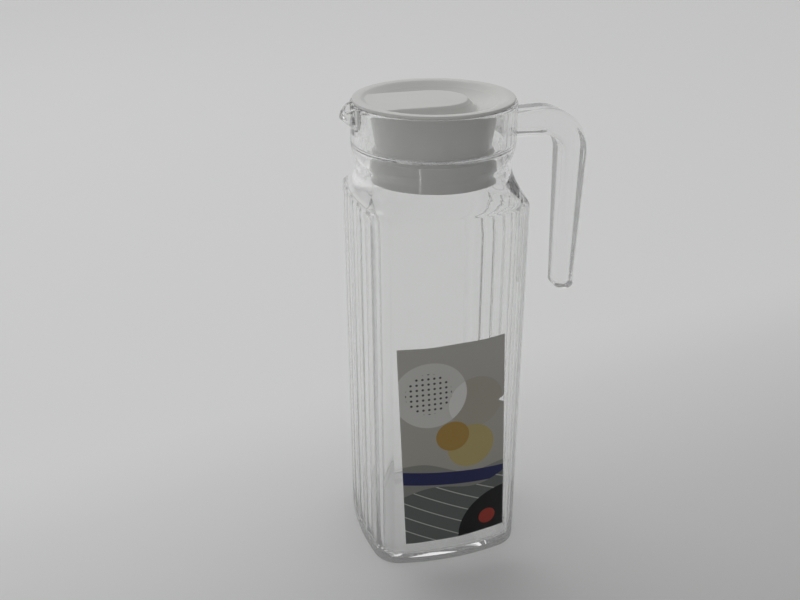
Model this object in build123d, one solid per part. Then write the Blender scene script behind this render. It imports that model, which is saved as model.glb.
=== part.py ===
"""Glass pitcher with a lift-out stopper lid, in millimetres.

The origin is the middle of the foot on the table. +Z is up, the handle is at +X, the pour lip at -X,
and the labelled front panel faces -Y.
"""
import math
import os

from build123d import *

# Glass body: a square in plan, with bulged faces and round corners
BODY_WIDTH = 87.0
CORNER_RADIUS = 15.0
FACE_TURN = 12.6  # degrees that half of a face's bulge turns through
BODY_WALL = 3.8
BODY_HEIGHT = 199.5
BASE_THICKNESS = 4.2
FOOT_EDGE_RADIUS = 1.2
INNER_FLOOR_RADIUS = 3.5
FOOT_RING_WIDTH = 9.0
FOOT_HOLLOW_DEPTH = 0.8

# Flutes on the two sides
FLUTES_PER_SIDE = 7
FLUTE_PITCH = 12.4  # along the outline
FLUTE_DEPTH = 0.65  # below the chord of the flute
FLUTE_FOOT = 12.5  # height from which the flutes run out downwards

# Shoulder, neck and collar
SHOULDER_HEIGHT = 17.0
SHOULDER_EASE = 2.1
SHOULDER_SECTIONS = 6
NECK_DIAMETER = 77.0
NECK_HEIGHT = 0.6
COLLAR_DIAMETER = 81.6
COLLAR_HEIGHT = 29.0  # from the neck to the rim
COLLAR_ROUND_RADIUS = 21.0  # arc on which the collar draws in downwards
NECK_ROUND_RADIUS = 4.0  # hollow arc that carries it on into the neck
RIM_RADIUS = 1.2
RIM_STOCK = 1.0  # glass above the rim that is trimmed off
THROAT_DIAMETER = 65.0
THROAT_HEIGHT = 10.0
MOUTH_DIAMETER = 71.6
MOUTH_DEPTH = 21.7  # from the rim to the throat
MOUTH_TAPER = 2.0
INNER_SHOULDER_HEIGHT = 15.5

# Pour lip
LIP_REACH = 46.4  # from the axis to the tip
LIP_RADIUS = 9.0
LIP_HEIGHT = 11.1  # from where the lip leaves the collar to the rim
LIP_RISE = 5.5  # over which the lip swings out
LIP_DROOP = 5.8  # from the rim down to the tip
LIP_ROLL_START = 37.8  # from the axis to where the rim starts to roll over
LIP_SECTIONS = 5
LIP_WALL = 2.6

# Handle bar
HANDLE_REACH = 73.5  # from the axis to the middle of the grip
HANDLE_ARM_DROP = 13.8  # from the rim to the middle of the arm
HANDLE_END_HEIGHT = 138.5
HANDLE_BEND_RADIUS = 17.0
HANDLE_WIDTH = 17.0
HANDLE_DEPTH = 13.5
HANDLE_ROOT_WIDTH = 19.0
HANDLE_ROOT_DEPTH = 12.0
HANDLE_END_WIDTH = 15.0
HANDLE_END_DEPTH = 11.0
HANDLE_CORNER_RADIUS = 2.9
HANDLE_END_CORNER_RADIUS = 4.0
HANDLE_END_RADIUS = 3.6
HANDLE_TIP_LENGTH = 5.0

# Stopper lid
LID_DIAMETER = 79.0
LID_THICKNESS = 1.6
LID_EDGE_RADIUS = 0.7
LID_SEAT_GAP = 0.1
LID_WALL = 1.6
DISH_DIAMETER = 70.0
DISH_DEPTH = 10.0
DISH_EDGE_RADIUS = 0.8
TONGUE_WIDTH = 33.6
TONGUE_END = 16.5  # past the axis, towards the handle
TONGUE_DROP = 1.0  # below the top of the disc
TONGUE_DRAFT = 15.0  # degrees that its sides lean out towards the dish
PLUG_DEPTH = 37.8
PLUG_FLARE_HEIGHT = 3.0  # cone between the plug and the rim of the dish
PLUG_TOP_DIAMETER = 63.0
PLUG_WAIST_DIAMETER = 57.2
SKIRT_HEIGHT = 14.0
SKIRT_STEP = 2.0
SKIRT_CLEARANCE = 1.4
BEAD_CLEARANCE = 0.4
BEAD_COUNT = 2
BEAD_PITCH = 4.0
BEAD_HEIGHT = 2.0

# Label
LABEL_WIDTH = 56.0
LABEL_HEIGHT = 119.6
LABEL_THICKNESS = 0.2
LABEL_GLUE = 0.05  # film between the label and the glass
LABEL_MIDDLE_HEIGHT = 74.9
LABEL_TILT = 2.0  # degrees, top edge leaning towards the pour lip

# Heights that follow from the sizes above
HALF_WIDTH = BODY_WIDTH / 2
NECK_BASE = BODY_HEIGHT + SHOULDER_HEIGHT
COLLAR_BASE = NECK_BASE + NECK_HEIGHT
RIM = COLLAR_BASE + COLLAR_HEIGHT
THROAT_TOP = RIM - MOUTH_DEPTH
THROAT_BASE = THROAT_TOP - THROAT_HEIGHT
LID_UNDERSIDE = RIM + LID_SEAT_GAP
LID_TOP = LID_UNDERSIDE + LID_THICKNESS
PLUG_BASE = LID_UNDERSIDE - PLUG_DEPTH
TURN_COS = math.cos(math.radians(FACE_TURN))
TURN_SIN = math.sin(math.radians(FACE_TURN))


def face_radius(half_width, corner_radius):
    """Radius of the face bulge that runs tangent into the corner arcs."""
    return (half_width - corner_radius * (TURN_COS - TURN_SIN)) / (1 - TURN_COS + TURN_SIN)


def outline(half_width, corner_radius, height):
    """Bulged square at a height: four face arcs and four corner arcs, all tangent."""
    bulge = face_radius(half_width, corner_radius)
    corner = (bulge - corner_radius) * TURN_SIN
    arcs = []
    for quarter in range(4):
        face_arc = CenterArc((half_width - bulge, 0), bulge, -FACE_TURN, 2 * FACE_TURN)
        corner_arc = CenterArc((corner, corner), corner_radius, FACE_TURN, 90 - 2 * FACE_TURN)
        arcs.append(Rot(0, 0, 90 * quarter) * face_arc)
        arcs.append(Rot(0, 0, 90 * quarter) * corner_arc)
    return Pos(0, 0, height) * Face(Wire(arcs))


def square_to_round(half_width, corner_radius, end_radius, base, height, ease):
    """Loft from the bulged square to a circle; the ease sets how fast it draws in."""
    sections = []
    for index in range(SHOULDER_SECTIONS):
        along = index / (SHOULDER_SECTIONS - 1)
        drawn = 1 - (1 - along) ** ease
        half = half_width + (end_radius - half_width) * drawn
        corner = corner_radius + (end_radius - corner_radius) * drawn
        sections.append(outline(half, corner, base + height * along))
    return loft(sections)


def turned(points):
    """Solid of revolution about Z from (radius, height) points."""
    profile = Polyline(*[(radius, 0, height) for radius, height in points], close=True)
    return revolve(make_face(profile), Axis.Z)


def outline_place(distance):
    """Point at a distance along the outline from the middle of the +X side."""
    bulge = face_radius(HALF_WIDTH, CORNER_RADIUS)
    face_length = bulge * math.radians(FACE_TURN)
    if abs(distance) <= face_length:
        turn = distance / bulge
        centre = (HALF_WIDTH - bulge, 0)
        radius = bulge
    else:
        past = (abs(distance) - face_length) / CORNER_RADIUS
        turn = math.copysign(math.radians(FACE_TURN) + past, distance)
        corner = (bulge - CORNER_RADIUS) * TURN_SIN
        centre = (corner, math.copysign(corner, distance))
        radius = CORNER_RADIUS
    return Vector(centre[0] + radius * math.cos(turn), centre[1] + radius * math.sin(turn), 0)


def flute_cutters():
    """Upright round bars whose sides cut the shallow flutes of one side; their domed feet run them out."""
    cutters = []
    first = -FLUTE_PITCH * FLUTES_PER_SIDE / 2
    for index in range(FLUTES_PER_SIDE):
        start = outline_place(first + FLUTE_PITCH * index)
        end = outline_place(first + FLUTE_PITCH * (index + 1))
        half_chord = (end - start).length / 2
        radius = (half_chord ** 2 + FLUTE_DEPTH ** 2) / (2 * FLUTE_DEPTH)
        outward = (end - start).cross(Vector(0, 0, 1)).normalized()
        middle = (start + end) * 0.5 + outward * (radius - FLUTE_DEPTH)
        bar = Cylinder(radius, NECK_BASE, align=(Align.CENTER, Align.CENTER, Align.MIN)) + Sphere(radius)
        cutters.append(Pos(middle.X, middle.Y, FLUTE_FOOT) * bar)
    return cutters


def lip_shape(inset):
    """Beak of the pour lip: round sections that swing out from the collar up to the rim."""
    sections = []
    radius = LIP_RADIUS - inset
    hidden = COLLAR_DIAMETER / 2 - LIP_WALL
    for index in range(LIP_SECTIONS):
        along = index / (LIP_SECTIONS - 1)
        swing = (1 - math.cos(math.pi * along)) / 2
        reach = hidden + (LIP_REACH - hidden) * swing - inset
        height = RIM - LIP_HEIGHT + LIP_RISE * along
        sections.append(Pos(radius - reach, 0, height) * Circle(radius).face())
    return loft(sections) + extrude(sections[-1], LIP_HEIGHT - LIP_RISE + RIM_STOCK)


def rim_trim():
    """Waste above the rim, which is level round the mouth and rolls down over the lip."""
    run = LIP_REACH - LIP_ROLL_START
    roll_radius = (run ** 2 + LIP_DROOP ** 2) / (2 * LIP_DROOP)
    roll = CenterArc((-LIP_ROLL_START, RIM - roll_radius), roll_radius, 90, 90)
    far = roll @ 1
    waste_top = RIM + LIP_RISE
    rest = Polyline([far, (far.X, waste_top), (LIP_REACH, waste_top), (LIP_REACH, RIM), roll @ 0])
    return extrude(Plane.XZ * make_face([roll, rest]), LIP_REACH, both=True)


def round_collar():
    """Collar blank: a cylinder whose lower end draws in on two tangent arcs to the neck."""
    neck_radius = NECK_DIAMETER / 2
    collar_radius = COLLAR_DIAMETER / 2
    step = collar_radius - neck_radius
    both_radii = COLLAR_ROUND_RADIUS + NECK_ROUND_RADIUS
    rise = math.sqrt(2 * step * both_radii - step ** 2)
    turn = math.degrees(math.asin(rise / both_radii))
    hollow = CenterArc((neck_radius + NECK_ROUND_RADIUS, COLLAR_BASE), NECK_ROUND_RADIUS, 180, -turn)
    crown_middle = (collar_radius - COLLAR_ROUND_RADIUS, COLLAR_BASE + rise)
    crown = CenterArc(crown_middle, COLLAR_ROUND_RADIUS, -turn, turn)
    top = RIM + RIM_STOCK
    rest = Polyline([
        crown @ 1, (collar_radius, top), (0, top), (0, NECK_BASE), (neck_radius, NECK_BASE), hollow @ 0])
    return revolve(Plane.XZ * make_face([hollow, crown, rest]), Axis.Z)


def glass_jug():
    """Fluted square body that runs up through a shoulder into a round collar with a pour lip."""
    body = extrude(outline(HALF_WIDTH, CORNER_RADIUS, 0), BODY_HEIGHT)
    body = fillet(body.edges().group_by(Axis.Z)[0], FOOT_EDGE_RADIUS)
    shoulder = square_to_round(
        HALF_WIDTH, CORNER_RADIUS, NECK_DIAMETER / 2, BODY_HEIGHT, SHOULDER_HEIGHT, SHOULDER_EASE)
    smooth = body + shoulder
    sides = flute_cutters()
    sides += [Rot(0, 0, 180) * cutter for cutter in flute_cutters()]
    fluted = smooth - sides
    outer = fluted + round_collar() + lip_shape(0)

    inner_half = HALF_WIDTH - BODY_WALL
    inner_corner = CORNER_RADIUS - BODY_WALL
    inner_base = THROAT_BASE - INNER_SHOULDER_HEIGHT
    room = extrude(outline(inner_half, inner_corner, BASE_THICKNESS), inner_base - BASE_THICKNESS)
    room = fillet(room.edges().group_by(Axis.Z)[0], INNER_FLOOR_RADIUS)
    throat_radius = THROAT_DIAMETER / 2
    room += square_to_round(
        inner_half, inner_corner, throat_radius, inner_base, INNER_SHOULDER_HEIGHT, SHOULDER_EASE)
    mouth_radius = MOUTH_DIAMETER / 2
    room += turned([
        (0, THROAT_BASE),
        (throat_radius, THROAT_BASE),
        (throat_radius, THROAT_TOP),
        (mouth_radius, THROAT_TOP + MOUTH_TAPER),
        (mouth_radius, RIM + RIM_STOCK),
        (0, RIM + RIM_STOCK),
    ])
    foot_hollow = outline(HALF_WIDTH - FOOT_RING_WIDTH, CORNER_RADIUS - FOOT_RING_WIDTH, 0)
    jug = outer - room - lip_shape(LIP_WALL) - extrude(foot_hollow, FOOT_HOLLOW_DEPTH) - rim_trim()
    top = jug.faces().sort_by(Axis.Z)[-1]
    return fillet(top.edges().filter_by(GeomType.CIRCLE), RIM_RADIUS)


def handle_section(middle, turn, width, depth, corner_radius):
    """Rounded bar section at a point; the turn is from straight out to straight down."""
    plane = Plane(
        middle,
        x_dir=(math.sin(turn), 0, math.cos(turn)),
        z_dir=(math.cos(turn), 0, -math.sin(turn)))
    return plane * RectangleRounded(depth, width, corner_radius).face()


def glass_handle():
    """Bar that leaves the collar, bends down and tapers to a free round end."""
    arm = RIM - HANDLE_ARM_DROP
    bend_start = HANDLE_REACH - HANDLE_BEND_RADIUS
    bend_end = arm - HANDLE_BEND_RADIUS
    tip_start = HANDLE_END_HEIGHT + HANDLE_TIP_LENGTH
    down = math.pi / 2
    bar_size = (HANDLE_WIDTH, HANDLE_DEPTH, HANDLE_CORNER_RADIUS)
    root_size = (HANDLE_ROOT_WIDTH, HANDLE_ROOT_DEPTH, HANDLE_CORNER_RADIUS)
    end_size = (HANDLE_END_WIDTH, HANDLE_END_DEPTH, HANDLE_END_CORNER_RADIUS)
    root = handle_section((MOUTH_DIAMETER / 2, 0, arm), 0, *root_size)
    before = handle_section((bend_start, 0, arm), 0, *bar_size)
    after = handle_section((HANDLE_REACH, 0, bend_end), down, *bar_size)
    end = handle_section((HANDLE_REACH, 0, tip_start), down, *end_size)
    bend = revolve(before, Axis((bend_start, 0, bend_end), (0, 1, 0)), 90)
    tip = extrude(end, HANDLE_TIP_LENGTH, dir=(0, 0, -1))
    tip = fillet(tip.edges().group_by(Axis.Z)[0], HANDLE_END_RADIUS)
    bar = loft([root, before]) + bend + loft([after, end]) + tip
    return bar - Pos(0, 0, arm) * Cylinder(COLLAR_DIAMETER / 2, COLLAR_HEIGHT)


def tongue(inset, top):
    """Grip tongue: a flat bar from the rim of the dish to a round end past the axis, with leaning sides."""
    half = TONGUE_WIDTH / 2 - inset
    round_middle = TONGUE_END - TONGUE_WIDTH / 2
    length = round_middle + DISH_DIAMETER / 2
    bar = Pos(round_middle - length / 2, 0) * Rectangle(length, 2 * half)
    plan = bar + Pos(round_middle, 0) * Circle(half)
    return Pos(0, 0, top) * extrude(plan.face(), -DISH_DEPTH, taper=-TONGUE_DRAFT)


def lid_stopper():
    """One-piece hollow stopper: disc, dished top with a grip tongue, waisted plug and seal beads."""
    lid_radius = LID_DIAMETER / 2
    top_radius = PLUG_TOP_DIAMETER / 2
    waist_radius = PLUG_WAIST_DIAMETER / 2
    skirt_radius = THROAT_DIAMETER / 2 - SKIRT_CLEARANCE
    skirt_top = PLUG_BASE + SKIRT_HEIGHT
    waist = skirt_top + SKIRT_STEP
    flare = LID_UNDERSIDE - PLUG_FLARE_HEIGHT
    dish_half = DISH_DIAMETER / 2
    disc = Pos(0, 0, LID_UNDERSIDE) * Cylinder(
        lid_radius, LID_THICKNESS, align=(Align.CENTER, Align.CENTER, Align.MIN))
    disc = fillet(disc.edges(), LID_EDGE_RADIUS)
    plug = turned([
        (0, PLUG_BASE),
        (skirt_radius, PLUG_BASE),
        (skirt_radius, skirt_top),
        (waist_radius, waist),
        (top_radius, flare),
        (dish_half, LID_UNDERSIDE),
        (0, LID_UNDERSIDE),
    ])
    bead_radius = THROAT_DIAMETER / 2 - BEAD_CLEARANCE
    first_bead = PLUG_BASE + (SKIRT_HEIGHT - BEAD_PITCH * (BEAD_COUNT - 1)) / 2
    for index in range(BEAD_COUNT):
        middle = first_bead + BEAD_PITCH * index
        plug += turned([
            (0, middle - BEAD_HEIGHT / 2),
            (skirt_radius, middle - BEAD_HEIGHT / 2),
            (bead_radius, middle),
            (skirt_radius, middle + BEAD_HEIGHT / 2),
            (0, middle + BEAD_HEIGHT / 2),
        ])
    dish_radius = (dish_half ** 2 + DISH_DEPTH ** 2) / (2 * DISH_DEPTH)
    dish_middle = LID_TOP - DISH_DEPTH + dish_radius
    tongue_top = LID_TOP - TONGUE_DROP
    dish = Pos(0, 0, dish_middle) * Sphere(dish_radius)
    bowl = disc + plug - dish
    bowl = fillet(bowl.edges().group_by(Axis.Z)[-1], DISH_EDGE_RADIUS)
    grip = tongue(0, tongue_top) & (Pos(0, 0, LID_TOP) * Cylinder(dish_half, 2 * DISH_DEPTH))
    lid = bowl + grip
    under_dish = Pos(0, 0, dish_middle) * Sphere(dish_radius + LID_WALL)
    under_dish -= tongue(LID_WALL, tongue_top - LID_WALL)
    core = turned([
        (0, PLUG_BASE),
        (skirt_radius - LID_WALL, PLUG_BASE),
        (skirt_radius - LID_WALL, skirt_top - LID_WALL),
        (waist_radius - LID_WALL, waist - LID_WALL),
        (top_radius - LID_WALL, flare),
        (top_radius - LID_WALL, tongue_top - LID_WALL),
        (0, tongue_top - LID_WALL),
    ])
    return lid - (core - under_dish)


def front_label():
    """Thin sheet that lies on the bulge of the front panel, put on at a slight tilt."""
    stamp = Rot(0, -LABEL_TILT, 0) * Box(LABEL_WIDTH, HALF_WIDTH, LABEL_HEIGHT)
    stamp = Pos(0, -HALF_WIDTH, LABEL_MIDDLE_HEIGHT) * stamp
    back = extrude(outline(HALF_WIDTH + LABEL_GLUE, CORNER_RADIUS + LABEL_GLUE, 0), BODY_HEIGHT)
    lift = LABEL_GLUE + LABEL_THICKNESS
    front = extrude(outline(HALF_WIDTH + lift, CORNER_RADIUS + lift, 0), BODY_HEIGHT)
    return (front - back) & stamp


os.makedirs("parts", exist_ok=True)
export_step(glass_jug(), "parts/glass_jug.step")
export_step(glass_handle(), "parts/glass_handle.step")
export_step(lid_stopper(), "parts/lid_stopper.step")
export_step(front_label(), "parts/front_label.step")
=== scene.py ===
"""Clear glass pitcher with a white stopper lid: its surfaces, finishes, stage and camera."""
import math

import bpy
import numpy as np
from mathutils import Matrix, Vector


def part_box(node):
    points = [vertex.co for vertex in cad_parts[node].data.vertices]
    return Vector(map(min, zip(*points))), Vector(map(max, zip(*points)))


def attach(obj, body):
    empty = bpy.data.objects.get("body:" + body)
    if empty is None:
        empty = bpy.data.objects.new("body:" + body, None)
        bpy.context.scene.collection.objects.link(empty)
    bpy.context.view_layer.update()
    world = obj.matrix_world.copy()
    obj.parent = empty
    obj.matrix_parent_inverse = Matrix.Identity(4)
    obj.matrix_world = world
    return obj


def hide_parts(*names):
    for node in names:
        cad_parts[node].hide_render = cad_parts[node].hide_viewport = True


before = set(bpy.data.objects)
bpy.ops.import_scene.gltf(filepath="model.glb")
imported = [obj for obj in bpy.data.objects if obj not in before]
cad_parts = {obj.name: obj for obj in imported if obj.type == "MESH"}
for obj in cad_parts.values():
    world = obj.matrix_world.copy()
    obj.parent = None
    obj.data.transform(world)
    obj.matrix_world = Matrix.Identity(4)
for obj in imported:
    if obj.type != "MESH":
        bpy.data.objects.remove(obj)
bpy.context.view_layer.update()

MM = 0.001

# Places read from the frame, in millimetres
JUG_HIGH = np.array(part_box("glass_jug"))[1] / MM
LID_LOW, LID_HIGH = np.array(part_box("lid_stopper")) / MM
HANDLE_LOW = np.array(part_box("glass_handle"))[0] / MM
RIM = JUG_HIGH[2]
HALF_WIDTH = JUG_HIGH[1]
LID_TOP = LID_HIGH[2]
LID_RADIUS = LID_HIGH[0]
PLUG_BASE = LID_LOW[2]

# Glass body, in millimetres
CORNER_RADIUS = 15.0
FACE_TURN = math.radians(12.6)
BODY_WALL = 3.8
BODY_HEIGHT = 199.5
BASE_THICKNESS = 4.2
FOOT_EDGE = 1.2
FLOOR_EDGE = 3.5
FOOT_RING = 9.0
FOOT_HOLLOW = 0.8
FOOT_HOLLOW_EDGE = 0.14  # share of the way out over which the hollow runs out
FLUTES = 7
FLUTE_PITCH = 12.4
FLUTE_DEPTH = 0.65
FLUTE_FOOT = 12.5
RIDGE_ROUND = 0.15
FLUTE_COLUMNS = 20
PANEL_COLUMNS = 48

# Shoulder, neck, collar and pour lip, in millimetres
SHOULDER_HEIGHT = 17.0
SHOULDER_EASE = 2.1
SHOULDER_SOFTNESS = 0.02
NECK_RADIUS = 38.5
COLLAR_RADIUS = 40.8
COLLAR_BASE = RIM - 29.0
COLLAR_ROUND = 21.0
NECK_ROUND = 4.0
RIM_EDGE = 1.2
MOUTH_RADIUS = 35.8
THROAT_RADIUS = 32.5
THROAT_TOP = RIM - 21.7
THROAT_BASE = THROAT_TOP - 10.0
MOUTH_TAPER = 2.0
INNER_EDGE = 0.8
INNER_SHOULDER = 15.5
INNER_SOFTNESS = 0.15
LIP_REACH = 46.4
LIP_RADIUS = 9.0
LIP_BASE = RIM - 13.6
LIP_RISE = 8.0
LIP_WALL = 2.6
LIP_BLEND = 2.2
LIP_DROOP = 5.8
LIP_ROLL_START = 37.8
LIP_PASSES = 6

# Handle bar, in millimetres
HANDLE_ARM = RIM - 13.8
HANDLE_REACH = 73.5
HANDLE_BEND = 17.0
HANDLE_ROOT = (19.0, 12.0)
HANDLE_BAR = (17.0, 13.5)
HANDLE_END = (15.0, 11.0)
HANDLE_CORNER = 2.9
HANDLE_END_CORNER = 4.0
HANDLE_CORNER_COLUMNS = 12
HANDLE_TIP_ROUND = 3.6

# Stopper lid, in millimetres
LID_THICKNESS = 1.6
LID_EDGE = 0.35
LID_WALL = 1.6
DISH_RADIUS = 35.0
DISH_DEPTH = 10.0
DISH_EDGE = 0.5
TONGUE_HALF = 16.8
TONGUE_END = 16.5
TONGUE_DROP = 1.0
TONGUE_EDGE = 0.3
TONGUE_STOP = 2.0  # from the dish's edge to where the tongue's outline stops
TONGUE_DRAFT = math.radians(42.0)
TONGUE_FOOT = 9.0  # from the tongue's outline to the foot of its slope
TONGUE_BLEND = 1.5
TONGUE_BLEND_FADE = 10.0
TONGUE_BLEND_LEAST = 0.1  # share of the blend that is left at the dish's edge
PLUG_FLARE = 3.0
PLUG_TOP_RADIUS = 31.5
PLUG_WAIST_RADIUS = 28.6
SKIRT_RADIUS = 30.3
SKIRT_HEIGHT = 14.0
SKIRT_STEP = 2.0
PLUG_ROUNDS = (0.3, 1.0, 1.5, 0.8, 0.6, 0.6, 1.0, 1.0)  # from under the disc down to the base and up inside
BEAD_STANDS = 0.12
BEAD_HEIGHT = 2.0
BEAD_PITCH = 4.0

# Grid of the stopper lid, distances in millimetres
LID_COLUMNS = 256
LID_STEP = 0.55
FLAT_ROWS = 14
SLOPE_ROWS = 36
BOWL_ROWS = 30
EAVES_ROWS = 8
ROW_CROWDING = 1.2
ROW_MARGIN = 0.8  # inside the tongue's outline and the dish's edge, where the rows grow finer
TOP_MARGIN = 1.0  # past the dish's edge, where the disc's flat rim begins
ROOF_MARGIN = 0.6
ROOF_FOOT_MARGIN = 0.2
SKIRT_MARGIN = 0.1

# Label, in millimetres
LABEL_WIDTH = 56.0
LABEL_HEIGHT = 119.6
LABEL_MIDDLE = 74.9
LABEL_TILT = math.radians(2.0)
LABEL_THICKNESS = 0.2
LABEL_GLUE = 0.05
LABEL_COLUMNS = 61
LABEL_ROWS = 161
INK_EDGE = 0.2
EDGE_WANDER = 0.15
EDGE_CLOSENESS = 9  # power that keeps the wander to the upper and lower edges
NICK_DEPTH = 3.2
NICK_SPREAD = 1.2
NICK_HEIGHT = 22.0
NICK_START = 0.4  # share of the width from the middle to where the nick starts to draw in
NICK_RUN = 0.1

# Camera, fitted to the outline in a picture of 800 by 600: lens, sensor, target and distance in millimetres
CAMERA_LENS = 42.55
CAMERA_SENSOR = 36
CAMERA_TARGET = np.array((-16.26, 4.33, 138.96))
CAMERA_AZIMUTH = math.radians(-14.9)
CAMERA_ELEVATION = math.radians(25.53)
CAMERA_ROLL = math.radians(-0.38)
CAMERA_DISTANCE = 502.3

# Sky that lights the scene: the direction it is brightest in, and its level from the opposite side round to there
SKY_BRIGHT_SIDE = (-0.08, 0.77, 0.63)
SKY_STRENGTH = 1.76
SKY_LEVELS = ((0.0, 0.08), (0.4, 0.13), (0.6, 0.20), (0.75, 0.28), (0.9, 0.48), (1.0, 0.9))

# Lamps: place, aim and size in metres, power in watts
WINDOW_LIGHT = ((-0.7, 1.1, 1.5), (0, 0, 0.2), (0.7, 0.7), 1.8)
STRIP_LIGHT = ((-0.31, -0.39, 0.12), (0, 0, 0.12), (0.006, 0.5), 0.26)

# Backdrop that shows in the glass and behind the jug, given in the same way as the sky
BACKDROP_SIDE = (0.0, 1.0, 0.0)
BACKDROP_LEVELS = ((0.0, 0.30), (0.25, 0.26), (0.45, 0.10), (0.55, 0.12), (0.7, 0.4), (0.85, 0.52), (1.0, 0.54))
BACKDROP_PATCH = ((0.0, 0.0), (0.9, 0.0), (0.95, 0.22), (1.0, 0.45))
FAINT_GREEN = 1.003  # green over red and blue, in every level of sky, backdrop and floor

# Floor: its colour at places along a direction, in metres, from in front of the camera to behind the jug. The colour
# carries painted shade: darker in front of the jug and a little to its right, lighter behind it, as if lit from behind
# and to the left.
FLOOR_SIDE = (-0.18, 0.98, 0.0)
FLOOR_NEAR, FLOOR_FAR = -0.35, 0.15
FLOOR_REACH = 6.0
FLOOR_SHADE_LEVELS = ((0.0, 0.48), (0.3, 0.53), (0.6, 0.65), (0.85, 0.79), (1.0, 0.86))

SHARP_ANGLE = math.radians(50)
TURN_COS = math.cos(FACE_TURN)
TURN_SIN = math.sin(FACE_TURN)


def smooth_step(value):
    """Rises from 0 to 1 as 3t^2 - 2t^3 over the unit range."""
    t = np.clip(value, 0, 1)
    return t * t * (3 - 2 * t)


def smooth_max(a, b, blend):
    """Larger of two values with a rounded change-over: the mean plus half the hypotenuse of gap and blend."""
    return (a + b + np.sqrt((a - b) ** 2 + blend ** 2)) / 2


def near_max(a, b, reach):
    """Larger of two values, raised where they are near: a quarter of the reach times the square of their nearness."""
    near = np.maximum(1 - np.abs(a - b) / reach, 0)
    return np.maximum(a, b) + near ** 2 * reach / 4


def soft_start(along, softness):
    """Rises from 0 to 1 over the unit range, in a straight line that starts level: a shifted and scaled hypotenuse."""
    return (np.hypot(along, softness) - softness) / (math.hypot(1, softness) - softness)


def rounded_path(corners, radii, step):
    """Polyline through the corners with an arc of the given radius at each inner corner.

    Each arc is tangent to both runs: it starts radius times the tangent of half the turn before the corner.
    Returns points about one step apart.
    """
    corners = np.array(corners, float)
    points = [corners[:1]]
    for before, corner, after, radius in zip(corners[:-2], corners[1:-1], corners[2:], radii):
        into = (corner - before) / np.linalg.norm(corner - before)
        away = (after - corner) / np.linalg.norm(after - corner)
        turn = math.acos(float(np.clip(into @ away, -1, 1)))
        reach = radius * math.tan(turn / 2)
        start = corner - into * reach
        side = away - into * (into @ away)
        side = side / np.linalg.norm(side)
        angles = np.linspace(0, turn, max(3, int(radius * turn / step * 2) + 2))[:, None]
        run = int(np.linalg.norm(start - points[-1][-1]) / step) + 1
        fractions = np.linspace(0, 1, run + 1)[1:-1, None]
        points.append(points[-1][-1] + (start - points[-1][-1]) * fractions)
        points.append(start + radius * (into * np.sin(angles) + side * (1 - np.cos(angles))))
    run = int(np.linalg.norm(corners[-1] - points[-1][-1]) / step) + 1
    points.append(points[-1][-1] + (corners[-1] - points[-1][-1]) * np.linspace(0, 1, run + 1)[1:, None])
    return np.concatenate([p for p in points if len(p)])


def closed_mesh(name, rows):
    """Closed surface from a grid of points: rows run round it, and the first and last row shrink to a pole.

    rows is an array (row, column, xyz) in millimetres. Quads join neighbouring rows, fans close the poles, and
    the winding is turned where the enclosed volume comes out negative.
    """
    count, columns, _ = rows.shape
    poles = rows[[0, -1]].mean(axis=1)
    inner = rows[1:-1].reshape(-1, 3)
    points = np.concatenate([inner, poles]) * MM
    ring = np.arange(columns)
    following = (ring + 1) % columns
    starts = (np.arange(count - 3) * columns)[:, None]
    quads = np.stack(
        [starts + ring, starts + following, starts + columns + following, starts + columns + ring], axis=-1)
    quads = quads.reshape(-1, 4)
    last = (count - 3) * columns
    first_pole = np.full(columns, len(inner))
    fans = np.concatenate([
        np.stack([first_pole, following, ring], axis=-1),
        np.stack([first_pole + 1, last + ring, last + following], axis=-1)])
    corners = points[np.concatenate([quads[:, :3], quads[:, [0, 2, 3]], fans])]
    volume = np.einsum("ij,ij->i", corners[:, 0], np.cross(corners[:, 1], corners[:, 2])).sum()
    if volume < 0:
        quads = quads[:, ::-1]
        fans = fans[:, ::-1]
    return mesh_object(name, points, quads.tolist() + fans.tolist())


def mesh_object(name, points, faces):
    """Object at the origin from points in metres and lists of corner numbers, shaded smooth."""
    mesh = bpy.data.meshes.new(name)
    mesh.from_pydata(points.tolist(), [], faces)
    mesh.validate()
    mesh.shade_smooth()
    piece = bpy.data.objects.new(name, mesh)
    bpy.context.scene.collection.objects.link(piece)
    return piece


def face_bulge(half, corner):
    """Radius of the face arcs that run tangent into the corner arcs of a bulged square."""
    return (half - corner * (TURN_COS - TURN_SIN)) / (1 - TURN_COS + TURN_SIN)


def bulged_square(half, corner, direction):
    """Points on a bulged square whose outward normals have the given directions.

    Within FACE_TURN of a face's middle the point lies on that face's large arc, otherwise on a corner arc. A
    square whose corner radius equals its half-width is a circle.
    """
    bulge = face_bulge(half, corner)
    quarter = np.round(direction / (math.pi / 2))
    swing = direction - quarter * (math.pi / 2)
    on_face = np.abs(swing) <= FACE_TURN
    middle = (bulge - corner) * TURN_SIN
    radius = np.where(on_face, bulge, corner)
    outward = np.where(on_face, half - bulge, middle) + radius * np.cos(swing)
    sideways = np.where(on_face, 0, np.sign(swing) * middle) + radius * np.sin(swing)
    turn = quarter * (math.pi / 2)
    return np.stack(
        [outward * np.cos(turn) - sideways * np.sin(turn), outward * np.sin(turn) + sideways * np.cos(turn)],
        axis=-1)


def direction_at(distance):
    """Normal direction at a distance along the body's outline, from the middle of the handle side."""
    bulge = face_bulge(HALF_WIDTH, CORNER_RADIUS)
    face = bulge * FACE_TURN
    quarter_length = 2 * face + CORNER_RADIUS * (math.pi / 2 - 2 * FACE_TURN)
    quarter = np.round(distance / quarter_length)
    local = distance - quarter * quarter_length
    past = np.maximum(np.abs(local) - face, 0) / CORNER_RADIUS
    swing = np.where(np.abs(local) <= face, local / bulge, np.sign(local) * (FACE_TURN + past))
    return quarter * (math.pi / 2) + swing, 4 * quarter_length


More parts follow.
